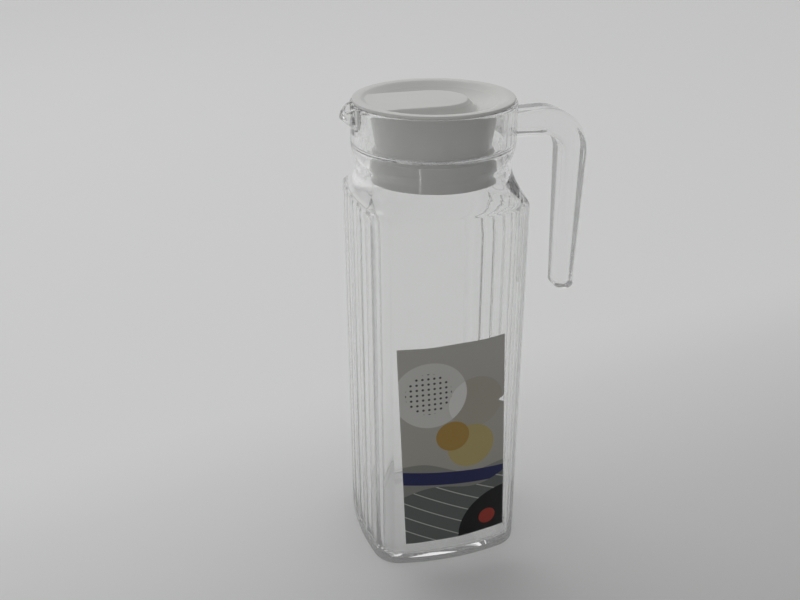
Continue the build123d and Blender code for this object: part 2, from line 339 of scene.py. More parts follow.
def flute_columns():
    """Columns of the glass grid: their normal directions and how deep the flute is at each.

    Columns crowd towards the ridges as half a cosine. The flute is a parabola FLUTE_DEPTH below the chord from
    ridge to ridge, measured along the normal, with ridges rounded by a hypotenuse.
    """
    phase = (1 - np.cos(np.pi * np.arange(FLUTE_COLUMNS) / FLUTE_COLUMNS)) / 2
    start = (np.arange(FLUTES) - FLUTES / 2)[:, None] * FLUTE_PITCH
    side = (start + phase * FLUTE_PITCH).ravel()
    side_starts = (start + 0 * phase).ravel()
    side_phase = np.tile(phase, FLUTES)
    perimeter = direction_at(np.zeros(1))[1]
    panel_start = FLUTES * FLUTE_PITCH / 2
    panel = np.linspace(panel_start, perimeter / 2 - panel_start, PANEL_COLUMNS, endpoint=False)
    distance = np.concatenate([side, panel, side + perimeter / 2, panel + perimeter / 2])
    direction = direction_at(distance)[0]
    outline = bulged_square(HALF_WIDTH, CORNER_RADIUS, direction)
    normal = np.stack([np.cos(direction), np.sin(direction)], axis=-1)

    ridge_a = bulged_square(HALF_WIDTH, CORNER_RADIUS, direction_at(side_starts)[0])
    ridge_b = bulged_square(HALF_WIDTH, CORNER_RADIUS, direction_at(side_starts + FLUTE_PITCH)[0])
    chord = ridge_b - ridge_a
    inward = np.stack([-chord[:, 1], chord[:, 0]], axis=-1) / np.linalg.norm(chord, axis=1)[:, None]
    sag = 4 * FLUTE_DEPTH * side_phase * (1 - side_phase)
    flute = ridge_a + chord * side_phase[:, None] + inward * sag[:, None]
    side_count = len(side)
    depth = np.sum((outline[:side_count] - flute) * normal[:side_count], axis=1)
    depth = np.sqrt(np.maximum(depth, 0) ** 2 + RIDGE_ROUND ** 2) - RIDGE_ROUND
    bare = np.zeros(PANEL_COLUMNS)
    return direction, np.concatenate([depth, bare, depth, bare])


def glass_profile():
    """Profile of the glass from the middle of the foot, up the outside, over the rim and down to the inner floor.

    Each row is a bulged square: half-width, corner radius, height, whether it carries flutes and how far it lies
    inside the outer face of the pour lip.
    """
    rows = []

    def add(half, corner, height, flutes=0.0, inset=0.0):
        half = np.atleast_1d(np.asarray(half, float))
        columns = [half] + [np.broadcast_to(np.asarray(v, float), half.shape) for v in (corner, height, flutes, inset)]
        rows.append(np.stack(columns, axis=-1))

    ring_half = HALF_WIDTH - FOOT_RING
    share = np.linspace(0, 1, 9)
    hollow = FOOT_HOLLOW * (1 - smooth_step((share - 1 + FOOT_HOLLOW_EDGE) / FOOT_HOLLOW_EDGE))
    add(share * ring_half, share * (CORNER_RADIUS - FOOT_RING), hollow)
    flat = np.linspace(ring_half, HALF_WIDTH - FOOT_EDGE, 5)[1:]
    add(flat, CORNER_RADIUS - HALF_WIDTH + flat, 0.0)
    turn = np.linspace(0, math.pi / 2, 10)[1:]
    drop = FOOT_EDGE * (1 - np.sin(turn))
    add(HALF_WIDTH - drop, CORNER_RADIUS - drop, FOOT_EDGE * (1 - np.cos(turn)))
    wall = np.concatenate([
        np.linspace(FOOT_EDGE, FLUTE_FOOT, 24)[1:], np.linspace(FLUTE_FOOT, BODY_HEIGHT, 24)[1:]])
    add(np.full_like(wall, HALF_WIDTH), CORNER_RADIUS, wall, flutes=1.0)
    along = np.linspace(0, 1, 33)[1:]
    drawn = 1 - (1 - soft_start(along, SHOULDER_SOFTNESS)) ** SHOULDER_EASE
    half = HALF_WIDTH + (NECK_RADIUS - HALF_WIDTH) * drawn
    corner = CORNER_RADIUS + (NECK_RADIUS - CORNER_RADIUS) * drawn
    add(half, corner, BODY_HEIGHT + SHOULDER_HEIGHT * along, flutes=1.0)

    step = COLLAR_RADIUS - NECK_RADIUS
    both = COLLAR_ROUND + NECK_ROUND
    rise = math.sqrt(2 * step * both - step ** 2)
    turn = np.linspace(0, math.asin(rise / both), 12)[1:]
    hollow = NECK_RADIUS + NECK_ROUND * (1 - np.cos(turn))
    add(hollow, hollow, COLLAR_BASE + NECK_ROUND * np.sin(turn))
    turn = turn[-2::-1]
    crown = COLLAR_RADIUS - COLLAR_ROUND * (1 - np.cos(turn))
    add(crown, crown, COLLAR_BASE + rise - COLLAR_ROUND * np.sin(turn))
    neck = rounded_path(
        [(COLLAR_RADIUS, COLLAR_BASE + rise), (COLLAR_RADIUS, RIM), (MOUTH_RADIUS, RIM),
         (MOUTH_RADIUS, THROAT_TOP + MOUTH_TAPER), (THROAT_RADIUS, THROAT_TOP), (THROAT_RADIUS, THROAT_BASE)],
        [RIM_EDGE, RIM_EDGE, INNER_EDGE, INNER_EDGE], step=1.0)
    inset = np.clip((COLLAR_RADIUS - neck[:, 0]) / (COLLAR_RADIUS - MOUTH_RADIUS), 0, 1) * LIP_WALL
    add(neck[:, 0], neck[:, 0], neck[:, 1], inset=inset)

    along = np.linspace(0, 1, 25)[1:]
    drawn = 1 - (1 - soft_start(1 - along, INNER_SOFTNESS)) ** SHOULDER_EASE
    inner_half = HALF_WIDTH - BODY_WALL
    inner_corner = CORNER_RADIUS - BODY_WALL
    half = inner_half + (THROAT_RADIUS - inner_half) * drawn
    corner = inner_corner + (THROAT_RADIUS - inner_corner) * drawn
    add(half, corner, THROAT_BASE - INNER_SHOULDER * along)
    wall = np.linspace(THROAT_BASE - INNER_SHOULDER, BASE_THICKNESS + FLOOR_EDGE, 26)[1:]
    add(np.full_like(wall, inner_half), inner_corner, wall)
    turn = np.linspace(0, math.pi / 2, 12)[1:]
    drop = FLOOR_EDGE * (1 - np.cos(turn))
    add(inner_half - drop, inner_corner - drop, BASE_THICKNESS + FLOOR_EDGE * (1 - np.sin(turn)))
    share = np.linspace(1, 0, 10)[1:]
    add(share * (inner_half - FLOOR_EDGE), share * (inner_corner - FLOOR_EDGE), BASE_THICKNESS)
    return np.concatenate(rows)


def lip_radius(direction, height, inset):
    """Distance from the axis to the pour lip: a round beak that swings out towards -X as half a cosine."""
    along = np.clip((height - LIP_BASE) / LIP_RISE, 0, 1)
    swing = (1 - np.cos(math.pi * along)) / 2
    hidden = COLLAR_RADIUS - LIP_WALL
    middle = hidden + (LIP_REACH - hidden) * swing - LIP_RADIUS
    away = np.pi - direction
    inside = (LIP_RADIUS - inset) ** 2 - (middle * np.sin(away)) ** 2
    reach = middle * np.cos(away) + np.sqrt(np.maximum(inside, 0))
    return np.where((inside > 0) & (np.cos(away) > 0), reach, 0)


def glass_jug():
    """Vessel: every profile row drawn round as a bulged square, with flutes cut in and the pour lip drawn out.

    The flutes are cut by round bars with domed feet, so below FLUTE_FOOT they grow shallower as the square of the
    distance over twice the bar's radius.
    Past LIP_ROLL_START the rim rolls down over the lip along an arc that is level where it starts, so the rows
    there close up. How far they do depends on how far out they lie, which takes a few passes to settle.
    """
    direction, depth = flute_columns()
    profile = glass_profile()
    half, corner, height, flutes, inset = (profile[:, i, None] for i in range(5))
    plan = bulged_square(half, corner, direction[None, :])
    normal = np.stack([np.cos(direction), np.sin(direction)], axis=-1)[None]
    outline = bulged_square(np.float64(HALF_WIDTH), np.float64(CORNER_RADIUS), direction)[None]
    drawn_in = np.sum((outline - plan) * normal, axis=-1)
    bar_radius = (FLUTE_PITCH ** 2 / 4 + FLUTE_DEPTH ** 2) / (2 * FLUTE_DEPTH)
    run_out = np.maximum(FLUTE_FOOT - height, 0) ** 2 / (2 * bar_radius)
    cut = flutes * np.maximum(depth[None] - drawn_in - run_out, 0)
    plan = plan - cut[..., None] * normal

    radius = np.linalg.norm(plan, axis=-1)
    above = np.maximum(height - LIP_BASE, 0)
    run = LIP_REACH - LIP_ROLL_START
    roll = (run ** 2 + LIP_DROOP ** 2) / (2 * LIP_DROOP)
    droop = np.zeros_like(radius)
    for _ in range(LIP_PASSES):
        lowered = above * (1 - droop / (RIM - LIP_BASE))
        beak = lip_radius(direction[None], LIP_BASE + lowered, inset)
        drawn_out = np.where(beak > 0, near_max(radius, beak, LIP_BLEND) - radius, 0) * (above > 0)
        past = np.clip(-(plan + drawn_out[..., None] * normal)[..., 0] - LIP_ROLL_START, 0, run)
        droop = roll - np.sqrt(roll ** 2 - past ** 2)
    plan = plan + drawn_out[..., None] * normal
    lowered = above * (1 - droop / (RIM - LIP_BASE))
    rows = np.concatenate([plan, np.where(above > 0, LIP_BASE + lowered, height)[..., None]], axis=-1)
    return closed_mesh("glass_jug_clear", rows)


def bar_section(width, depth, corner):
    """Bar with flat faces: four quarter circles of the corner radius, each carried out to its own corner's centre."""
    quarter = np.repeat(np.arange(4), HANDLE_CORNER_COLUMNS)
    angle = quarter * math.pi / 2 + np.tile(np.linspace(0, math.pi / 2, HANDLE_CORNER_COLUMNS), 4)
    middle = (quarter + 0.5) * math.pi / 2
    out = corner * np.cos(angle) + (depth / 2 - corner) * np.sign(np.cos(middle))
    side = corner * np.sin(angle) + (width / 2 - corner) * np.sign(np.sin(middle))
    return out, side


def glass_handle():
    """Handle: the bar section carried out from the collar wall, round the bend and down to a domed tip."""
    root = (COLLAR_RADIUS + MOUTH_RADIUS) / 2
    bend_start = HANDLE_REACH - HANDLE_BEND
    bend_height = HANDLE_ARM - HANDLE_BEND
    tip_start = HANDLE_LOW[2] + HANDLE_TIP_ROUND
    arm = np.linspace(0, 1, 14)
    bend = np.linspace(0, math.pi / 2, 24)[1:]
    grip = np.linspace(0, 1, 40)[1:]
    dome = np.linspace(0, math.pi / 2, 10)[1:]
    bar, end = np.array(HANDLE_BAR), np.array(HANDLE_END)
    shrink = HANDLE_TIP_ROUND * (1 - np.cos(dome))
    sizes = np.concatenate([
        np.array(HANDLE_ROOT) + (bar - np.array(HANDLE_ROOT)) * smooth_step(arm)[:, None],
        np.broadcast_to(bar, (len(bend), 2)),
        bar + (end - bar) * grip[:, None],
        end - 2 * shrink[:, None]])
    corner = np.concatenate([
        0 * arm + HANDLE_CORNER,
        0 * bend + HANDLE_CORNER,
        HANDLE_CORNER + (HANDLE_END_CORNER - HANDLE_CORNER) * grip,
        HANDLE_END_CORNER - shrink])
    turn = np.concatenate([0 * arm, bend, 0 * grip + math.pi / 2, 0 * dome + math.pi / 2])
    across = np.concatenate([
        root + (bend_start - root) * arm,
        bend_start + HANDLE_BEND * np.sin(bend),
        0 * grip + HANDLE_REACH,
        0 * dome + HANDLE_REACH])
    height = np.concatenate([
        0 * arm + HANDLE_ARM,
        bend_height + HANDLE_BEND * np.cos(bend),
        bend_height + (tip_start - bend_height) * grip,
        tip_start - HANDLE_TIP_ROUND * np.sin(dome)])
    out, side = bar_section(sizes[:, :1], sizes[:, 1:], corner[:, None])
    rows = np.stack([
        across[:, None] + out * np.sin(turn)[:, None],
        side,
        height[:, None] + out * np.cos(turn)[:, None]], axis=-1)
    rows = np.concatenate([rows[:1], rows, rows[-1:]])
    return closed_mesh("glass_handle_clear", rows)


def joined_glass(jug, handle):
    """One clear body from the vessel and the bar that was pressed onto it while both were hot."""
    union = jug.modifiers.new("handle_joint", "BOOLEAN")
    union.operation = "UNION"
    union.object = handle
    union.solver = "MANIFOLD"
    bpy.context.view_layer.update()
    evaluated = jug.evaluated_get(bpy.context.evaluated_depsgraph_get())
    mesh = bpy.data.meshes.new_from_object(evaluated)
    jug.modifiers.clear()
    jug.data = mesh
    mesh.materials.clear()
    bpy.data.objects.remove(handle)
    mesh.shade_smooth()
    mesh.set_sharp_from_angle(angle=SHARP_ANGLE)
    return jug


def dish_height(radius):
    """Height of the dish: a spherical bowl that meets the disc's top at the dish's radius."""
    ball = (DISH_RADIUS ** 2 + DISH_DEPTH ** 2) / (2 * DISH_DEPTH)
    return LID_TOP - DISH_DEPTH + ball - np.sqrt(np.maximum(ball ** 2 - radius ** 2, 0))


def tongue_edge(angle):
    """Distance from the axis to the tongue's outline: straight sides along X with a round end towards the handle."""
    middle = TONGUE_END - TONGUE_HALF
    side = TONGUE_HALF / np.maximum(np.abs(np.sin(angle)), 1e-6)
    round_end = middle * np.cos(angle) + np.sqrt(TONGUE_HALF ** 2 - (middle * np.sin(angle)) ** 2)
    edge = np.where(side * np.cos(angle) > middle, round_end, side)
    return np.minimum(edge, DISH_RADIUS - TONGUE_STOP)


def lid_top_height(radius, angle):
    """Top of the lid: the larger of the dish and the tongue with its leaning sides.

    The blend between the two is widest near the axis and fades out towards the dish's edge. The whole is kept
    softly under the disc's top.
    """
    x, y = radius * np.cos(angle), radius * np.sin(angle)
    middle = TONGUE_END - TONGUE_HALF
    outside = np.where(x > middle, np.hypot(x - middle, y), np.abs(y)) - TONGUE_HALF
    outside = (outside + np.hypot(outside, TONGUE_EDGE)) / 2
    tongue = LID_TOP - TONGUE_DROP - outside / math.tan(TONGUE_DRAFT)
    blend = TONGUE_BLEND * np.clip((DISH_RADIUS - radius) / TONGUE_BLEND_FADE, TONGUE_BLEND_LEAST, 1)
    inside = smooth_max(dish_height(radius), tongue, blend)
    return -smooth_max(-inside, -LID_TOP + 0 * inside, DISH_EDGE)


def lid_stopper():
    """Stopper: rings of points from the tongue's middle over the dish and the disc, down the plug and up inside.

    Over the tongue's slope the rings crowd towards its upper edge by a power. The beads are half cosines, and the
    hollow's roof follows the top at the wall's thickness below it.
    """
    angle = np.linspace(0, 2 * math.pi, LID_COLUMNS, endpoint=False)[None]
    edge = tongue_edge(angle)
    brink = edge - ROW_MARGIN
    flat = np.linspace(0, 1, FLAT_ROWS)[:, None] * brink
    foot = np.minimum(edge + TONGUE_FOOT, DISH_RADIUS - ROW_MARGIN)
    slope = brink + (foot - brink) * np.linspace(0, 1, SLOPE_ROWS)[1:, None] ** ROW_CROWDING
    bowl = foot + (DISH_RADIUS + TOP_MARGIN - foot) * np.linspace(0, 1, BOWL_ROWS)[1:, None]
    top_radius = np.concatenate([flat, slope, bowl])
    top = np.stack([top_radius, lid_top_height(top_radius, angle)], axis=-1)

    underside = LID_TOP - LID_THICKNESS
    skirt_top = PLUG_BASE + SKIRT_HEIGHT
    outside = rounded_path(
        [(DISH_RADIUS + TOP_MARGIN, LID_TOP), (LID_RADIUS, LID_TOP), (LID_RADIUS, underside),
         (DISH_RADIUS, underside), (PLUG_TOP_RADIUS, underside - PLUG_FLARE),
         (PLUG_WAIST_RADIUS, skirt_top + SKIRT_STEP), (SKIRT_RADIUS, skirt_top), (SKIRT_RADIUS, PLUG_BASE),
         (SKIRT_RADIUS - LID_WALL, PLUG_BASE), (SKIRT_RADIUS - LID_WALL, skirt_top - LID_WALL),
         (PLUG_WAIST_RADIUS - LID_WALL, skirt_top + SKIRT_STEP - LID_WALL),
         (PLUG_TOP_RADIUS - LID_WALL, underside - PLUG_FLARE)],
        [LID_EDGE, LID_EDGE, *PLUG_ROUNDS], step=LID_STEP)[1:]
    first_bead = PLUG_BASE + (SKIRT_HEIGHT - BEAD_PITCH) / 2
    for middle in (first_bead, first_bead + BEAD_PITCH):
        swell = np.cos(np.clip((outside[:, 1] - middle) / BEAD_HEIGHT, -0.5, 0.5) * math.pi)
        outside[:, 0] += BEAD_STANDS * swell * (outside[:, 0] > SKIRT_RADIUS - SKIRT_MARGIN)
    outside = np.broadcast_to(outside[:, None], (len(outside), angle.size, 2))

    hollow_edge = PLUG_TOP_RADIUS - LID_WALL
    roof = np.minimum(brink, hollow_edge - ROOF_MARGIN)
    roof_foot = np.minimum(foot, hollow_edge - ROOF_FOOT_MARGIN)
    hollow_radius = np.concatenate([
        hollow_edge + (roof_foot - hollow_edge) * np.linspace(0, 1, EAVES_ROWS)[:, None],
        roof + (roof_foot - roof) * np.linspace(1, 0, SLOPE_ROWS)[1:, None] ** ROW_CROWDING,
        roof * np.linspace(1, 0, FLAT_ROWS)[1:, None]])
    hollow = np.stack([hollow_radius, lid_top_height(hollow_radius, angle) - LID_WALL], axis=-1)
    profile = np.concatenate([top, outside, hollow])
    rows = np.stack(
        [profile[..., 0] * np.cos(angle), profile[..., 0] * np.sin(angle), profile[..., 1]], axis=-1)
    lid = closed_mesh("lid_stopper_white", rows)
    lid.data.set_sharp_from_angle(angle=SHARP_ANGLE)
    return lid


def panel_depth(across):
    """Distance of the front panel from the axis at a place across it: the face arc, then the corner arc."""
    bulge = face_bulge(HALF_WIDTH, CORNER_RADIUS)
    middle = (bulge - CORNER_RADIUS) * TURN_SIN
    on_face = HALF_WIDTH - bulge + np.sqrt(bulge ** 2 - across ** 2)
    past = np.clip(np.abs(across) - middle, 0, CORNER_RADIUS)
    on_corner = middle + np.sqrt(CORNER_RADIUS ** 2 - past ** 2)
    return np.where(np.abs(across) <= bulge * TURN_SIN, on_face, on_corner)


def front_label():
    """Sticker: a rectangle, turned by the tilt it was put on with, laid on the bulge of the front panel.

    Its upper and lower edges wander by a sine, and a small bell curve draws in its right edge at a nick.
    """
    across, up = np.meshgrid(np.linspace(-0.5, 0.5, LABEL_COLUMNS), np.linspace(-0.5, 0.5, LABEL_ROWS))
    wander = EDGE_WANDER * (2 * up) ** EDGE_CLOSENESS * np.sin(4 * math.pi * across + 1)
    flat_z = up * LABEL_HEIGHT + wander
    nick = NICK_DEPTH * np.exp(-((flat_z - NICK_HEIGHT) / NICK_SPREAD) ** 2)
    flat_x = across * LABEL_WIDTH - nick * smooth_step((across - NICK_START) / NICK_RUN)
    x = flat_x * math.cos(LABEL_TILT) - flat_z * math.sin(LABEL_TILT)
    z = flat_x * math.sin(LABEL_TILT) + flat_z * math.cos(LABEL_TILT) + LABEL_MIDDLE
    y = -panel_depth(x) - LABEL_GLUE - LABEL_THICKNESS
    points = np.stack([x, y, z], axis=-1).reshape(-1, 3) * MM
    index = np.arange(across.size).reshape(across.shape)
    faces = np.stack([index[:-1, :-1], index[:-1, 1:], index[1:, 1:], index[1:, :-1]], axis=-1).reshape(-1, 4)
    label = mesh_object("front_label_paper", points, faces.tolist())
    layer = label.data.uv_layers.new(name="sheet")
    corner = np.empty(len(label.data.loops), int)
    label.data.loops.foreach_get("vertex_index", corner)
    sheet = np.stack([across.ravel() + 0.5, up.ravel() + 0.5], axis=-1)
    layer.data.foreach_set("uv", sheet[corner].ravel())
    paper = label.modifiers.new("paper", "SOLIDIFY")
    paper.thickness = LABEL_THICKNESS * MM
    paper.offset = -1
    return label


def new_material(name):
    """Material with an empty node tree, its Principled shader and its output."""
    material = bpy.data.materials.new(name)
    material.use_nodes = True
    nodes = material.node_tree.nodes
    return material, nodes, material.node_tree.links, nodes["Principled BSDF"]


def noise(nodes, links, source, scale, detail):
    """Noise value over the given coordinates, with features about one over the scale in their unit."""
    texture = nodes.new("ShaderNodeTexNoise")
    texture.inputs["Scale"].default_value = scale
    texture.inputs["Detail"].default_value = detail
    links.new(source, texture.inputs["Vector"])
    return texture.outputs["Fac"]


def between(nodes, links, value, low, high):
    """Maps a value from 0..1 to the range from low to high."""
    remap = nodes.new("ShaderNodeMapRange")
    remap.inputs["To Min"].default_value = low
    remap.inputs["To Max"].default_value = high
    links.new(value, remap.inputs["Value"])
    return remap.outputs["Result"]


def tinted(nodes, links, value, low, high):
    """Colour that runs from low to high with a value."""
    ramp = nodes.new("ShaderNodeValToRGB")
    ramp.color_ramp.elements[0].color = (*low, 1)
    ramp.color_ramp.elements[1].color = (*high, 1)
    links.new(value, ramp.inputs["Fac"])
    return ramp.outputs["Color"]


def bumped(nodes, links, shader, value, strength, distance):
    """Bump of the given height, in metres, on the shader's normal."""
    bump = nodes.new("ShaderNodeBump")
    bump.inputs["Strength"].default_value = strength
    bump.inputs["Distance"].default_value = distance
    links.new(value, bump.inputs["Height"])
    links.new(bump.outputs["Normal"], shader.inputs["Normal"])


def either_ray(nodes, links, *kinds):
    """One for rays of any of the given kinds, otherwise nought."""
    path = nodes.new("ShaderNodeLightPath").outputs
    found = path[kinds[0]]
    for kind in kinds[1:]:
        either = nodes.new("ShaderNodeMath")
        either.operation = "MAXIMUM"
        links.new(found, either.inputs[0])
        links.new(path[kind], either.inputs[1])
        found = either.outputs[0]
    return found


def clear_glass():
    """Nearly colourless pressed glass: a faint green-grey, with slow waves in its surface and a little haze.

    Light that falls through it onto other pieces passes straight, and less of it where the wall is seen edge-on.
    """
    material, nodes, links, shader = new_material("clear_glass")
    place = nodes.new("ShaderNodeTexCoord").outputs["Object"]
    shader.inputs["Transmission Weight"].default_value = 1.0
    shader.inputs["IOR"].default_value = 1.5
    slow = noise(nodes, links, place, scale=38.0, detail=2.0)
    colour = tinted(nodes, links, slow, (0.976, 0.982, 0.976), (0.992, 0.995, 0.991))
    links.new(colour, shader.inputs["Base Color"])
    links.new(between(nodes, links, slow, 0.0, 0.02), shader.inputs["Roughness"])
    waves = noise(nodes, links, place, scale=60.0, detail=1.0)
    bumped(nodes, links, shader, waves, strength=0.1, distance=0.00012)

    facing = nodes.new("ShaderNodeLayerWeight").outputs["Facing"]
    clear = nodes.new("ShaderNodeBsdfTransparent")
    links.new(tinted(nodes, links, facing, (0.985,) * 3, (0.75,) * 3), clear.inputs["Color"])
    mix = nodes.new("ShaderNodeMixShader")
    links.new(either_ray(nodes, links, "Is Shadow Ray", "Is Diffuse Ray"), mix.inputs[0])
    links.new(shader.outputs[0], mix.inputs[1])
    links.new(clear.outputs[0], mix.inputs[2])
    links.new(mix.outputs[0], nodes["Material Output"].inputs["Surface"])
    return material


def white_plastic():
    """White moulded plastic that lets some light through: satin on top with a fine grain, smoother on the plug."""
    material, nodes, links, shader = new_material("white_plastic")
    place = nodes.new("ShaderNodeTexCoord").outputs["Object"]
    tone = noise(nodes, links, place, scale=45.0, detail=3.0)
    links.new(tinted(nodes, links, tone, (0.65, 0.65, 0.63), (0.70, 0.70, 0.685)), shader.inputs["Base Color"])
    grain = noise(nodes, links, place, scale=2200.0, detail=2.0)
    apart = nodes.new("ShaderNodeSeparateXYZ")
    links.new(place, apart.inputs["Vector"])
    satin = nodes.new("ShaderNodeMapRange")
    satin.inputs["From Min"].default_value = (LID_TOP - 2 * LID_THICKNESS) * MM
    satin.inputs["From Max"].default_value = (LID_TOP - LID_THICKNESS) * MM
    satin.inputs["To Min"].default_value = 0.25
    links.new(apart.outputs["Z"], satin.inputs["Value"])
    rough = nodes.new("ShaderNodeMath")
    rough.operation = "MULTIPLY"
    links.new(between(nodes, links, grain, 0.38, 0.52), rough.inputs[0])
    links.new(satin.outputs["Result"], rough.inputs[1])
    links.new(rough.outputs[0], shader.inputs["Roughness"])
    shader.inputs["Subsurface Weight"].default_value = 0.2
    shader.inputs["Subsurface Radius"].default_value = (1.0, 0.95, 0.85)
    shader.inputs["Subsurface Scale"].default_value = 0.0015
    shader.inputs["Specular IOR Level"].default_value = 0.3
    bumped(nodes, links, shader, rough.outputs[0], strength=0.12, distance=0.0014)
    return material


class LabelPrint:
    """Flat shapes printed one over another, laid out in millimetres from the sheet's lower left corner."""

    def __init__(self, nodes, links, ground):
        self.nodes, self.links = nodes, links
        sheet = nodes.new("ShaderNodeUVMap")
        sheet.uv_map = "sheet"
        size = nodes.new("ShaderNodeVectorMath")
        size.operation = "MULTIPLY"
        size.inputs[1].default_value = (LABEL_WIDTH, LABEL_HEIGHT, 1)
        links.new(sheet.outputs["UV"], size.inputs[0])
        apart = nodes.new("ShaderNodeSeparateXYZ")
        links.new(size.outputs["Vector"], apart.inputs["Vector"])
        self.place = size.outputs["Vector"]
        self.across, self.up = apart.outputs["X"], apart.outputs["Y"]
        self.colour = tinted(nodes, links, self.math("DIVIDE", self.up, LABEL_HEIGHT), *ground)

    def math(self, operation, first, second=0.0):
        """One arithmetic step on values or node outputs."""
        node = self.nodes.new("ShaderNodeMath")
        node.operation = operation
        for socket, value in zip(node.inputs, (first, second)):
            if isinstance(value, (int, float)):
                socket.default_value = value
            else:
                self.links.new(value, socket)
        return node.outputs[0]

    def edge(self, depth):
        """Share of ink from the depth inside a shape: none outside, and full from INK_EDGE in."""
        step = self.nodes.new("ShaderNodeMapRange")
        step.inputs["From Max"].default_value = INK_EDGE
        self.links.new(depth, step.inputs["Value"])
        return step.outputs["Result"]

    def disc(self, across, up, radius):
        """Round spot."""
        gap = self.nodes.new("ShaderNodeVectorMath")
        gap.operation = "DISTANCE"
        gap.inputs[1].default_value = (across, up, 0)
        self.links.new(self.place, gap.inputs[0])
        return self.edge(self.math("SUBTRACT", radius, gap.outputs["Value"]))

    def below(self, height, slope, swell=0.0, length=1.0):
        """Everything under a sloping line, which may swell up and down as a sine of the given length."""
        line = self.math("MULTIPLY_ADD", self.across, slope)
        line.node.inputs[2].default_value = height
        if swell:
            wave = self.math("SINE", self.math("DIVIDE", self.across, length / (2 * math.pi)))
            line = self.math("ADD", line, self.math("MULTIPLY", wave, swell))
        return self.edge(self.math("SUBTRACT", line, self.up))

    def stripes(self, slope, pitch, width):
        """Thin sloping rules at an even pitch."""
        run = self.math("ADD", self.up, self.math("MULTIPLY", self.across, slope))
        phase = self.math("PINGPONG", run, pitch / 2)
        return self.edge(self.math("SUBTRACT", width / 2, phase))

    def dots(self, pitch, radius):
        """Small round spots on a square grid: the distance to the nearest grid point folds both ways."""
        across = self.math("PINGPONG", self.across, pitch / 2)
        up = self.math("PINGPONG", self.up, pitch / 2)
        apart = self.math("ADD", self.math("MULTIPLY", across, across), self.math("MULTIPLY", up, up))
        return self.edge(self.math("SUBTRACT", radius, self.math("SQRT", apart)))

    def both(self, first, second):
        """Where two shapes overlap."""
        return self.math("MULTIPLY", first, second)

    def without(self, first, second):
        """The first shape with the second cut out."""
        return self.math("MULTIPLY", first, self.math("SUBTRACT", 1.0, second))

    def back(self):
        """The unprinted side, whose normal points into the jug."""
        apart = self.nodes.new("ShaderNodeSeparateXYZ")
        self.links.new(self.nodes.new("ShaderNodeTexCoord").outputs["Normal"], apart.inputs["Vector"])
        return self.edge(apart.outputs["Y"])

    def paint(self, shape, colour):
        """Lays a colour over what is printed so far."""
        mix = self.nodes.new("ShaderNodeMix")
        mix.data_type = "RGBA"
        self.links.new(shape, mix.inputs["Factor"])
        self.links.new(self.colour, mix.inputs["A"])
        mix.inputs["B"].default_value = (*colour, 1)
        self.colour = mix.outputs["Result"]

    def grain(self, amount):
        """Slight mottle of the ink, as a multiplied fine noise."""
        mottle = noise(self.nodes, self.links, self.place, scale=2.5, detail=3.0)
        mix = self.nodes.new("ShaderNodeMix")
        mix.data_type = "RGBA"
        mix.blend_type = "MULTIPLY"
        mix.inputs["Factor"].default_value = 1.0
        self.links.new(self.colour, mix.inputs["A"])
        self.links.new(tinted(self.nodes, self.links, mottle, (1 - amount,) * 3, (1.0,) * 3), mix.inputs["B"])
        self.colour = mix.outputs["Result"]


def label_paper():
    """Coated paper printed with plain overlapping shapes: greys, amber, a dark blue band and a dark wave."""
    material, nodes, links, shader = new_material("label_paper")
    design = LabelPrint(nodes, links, ((0.43, 0.40, 0.33), (0.56, 0.55, 0.52)))
    design.paint(design.disc(16, 92, 19), (0.74, 0.73, 0.70))
    design.paint(design.disc(40, 84, 15), (0.48, 0.45, 0.38))
    design.paint(design.both(design.disc(16, 92, 19), design.disc(40, 84, 15)), (0.88, 0.87, 0.84))
    design.paint(design.both(design.disc(15, 93, 12), design.dots(3.0, 0.75)), (0.10, 0.10, 0.095))
    design.paint(design.disc(37, 58, 13), (0.55, 0.45, 0.20))
    design.paint(design.disc(27, 66, 9), (0.48, 0.30, 0.08))
    design.paint(design.below(50, -0.16, 2.5, 47), (0.29, 0.29, 0.27))
    design.paint(design.without(design.below(47, -0.12), design.below(39, -0.12)), (0.025, 0.03, 0.12))
    design.paint(design.below(31, 0.1, 3, 56), (0.145, 0.16, 0.15))
    design.paint(design.both(design.below(31, 0.1, 3, 56), design.stripes(0.55, 9, 0.8)), (0.62, 0.63, 0.60))
    design.paint(design.disc(56, 0, 27), (0.008, 0.008, 0.009))
    design.paint(design.disc(46, 9, 5), (0.40, 0.045, 0.03))
    design.paint(design.back(), (0.74, 0.74, 0.72))
    design.grain(0.12)
    links.new(design.colour, shader.inputs["Base Color"])
    fibre = noise(nodes, links, design.place, scale=9.0, detail=3.0)
    links.new(between(nodes, links, fibre, 0.32, 0.46), shader.inputs["Roughness"])
    shader.inputs["Specular IOR Level"].default_value = 0.25
    bumped(nodes, links, shader, fibre, strength=0.15, distance=0.0001)
    return material


def pale_floor():
    """Large pale floor that takes the object's shadow. Its colour carries painted shade: darker towards the camera and
    to the right, lighter towards the back.
    """
    points = FLOOR_REACH * np.array([(-1, -1, 0), (1, -1, 0), (1, 1, 0), (-1, 1, 0)])
    floor = mesh_object("floor", points, [(0, 1, 2, 3)])
    material, nodes, links, shader = new_material("floor_pale_painted_shade")
    place = nodes.new("ShaderNodeTexCoord").outputs["Object"]
    along = nodes.new("ShaderNodeVectorMath")
    along.operation = "DOT_PRODUCT"
    along.inputs[1].default_value = FLOOR_SIDE
    links.new(place, along.inputs[0])
    back = nodes.new("ShaderNodeMapRange")
    back.inputs["From Min"].default_value = FLOOR_NEAR
    back.inputs["From Max"].default_value = FLOOR_FAR
    links.new(along.outputs["Value"], back.inputs["Value"])
    # painted shade: the floor's colour darkens towards the camera and to the right, standing in for light that falls
    # off from behind
    links.new(level_ramp(nodes, links, back.outputs["Result"], FLOOR_SHADE_LEVELS), shader.inputs["Base Color"])
    matt = noise(nodes, links, place, scale=9.0, detail=2.0)
    links.new(between(nodes, links, matt, 0.7, 0.9), shader.inputs["Roughness"])
    floor.data.materials.append(material)


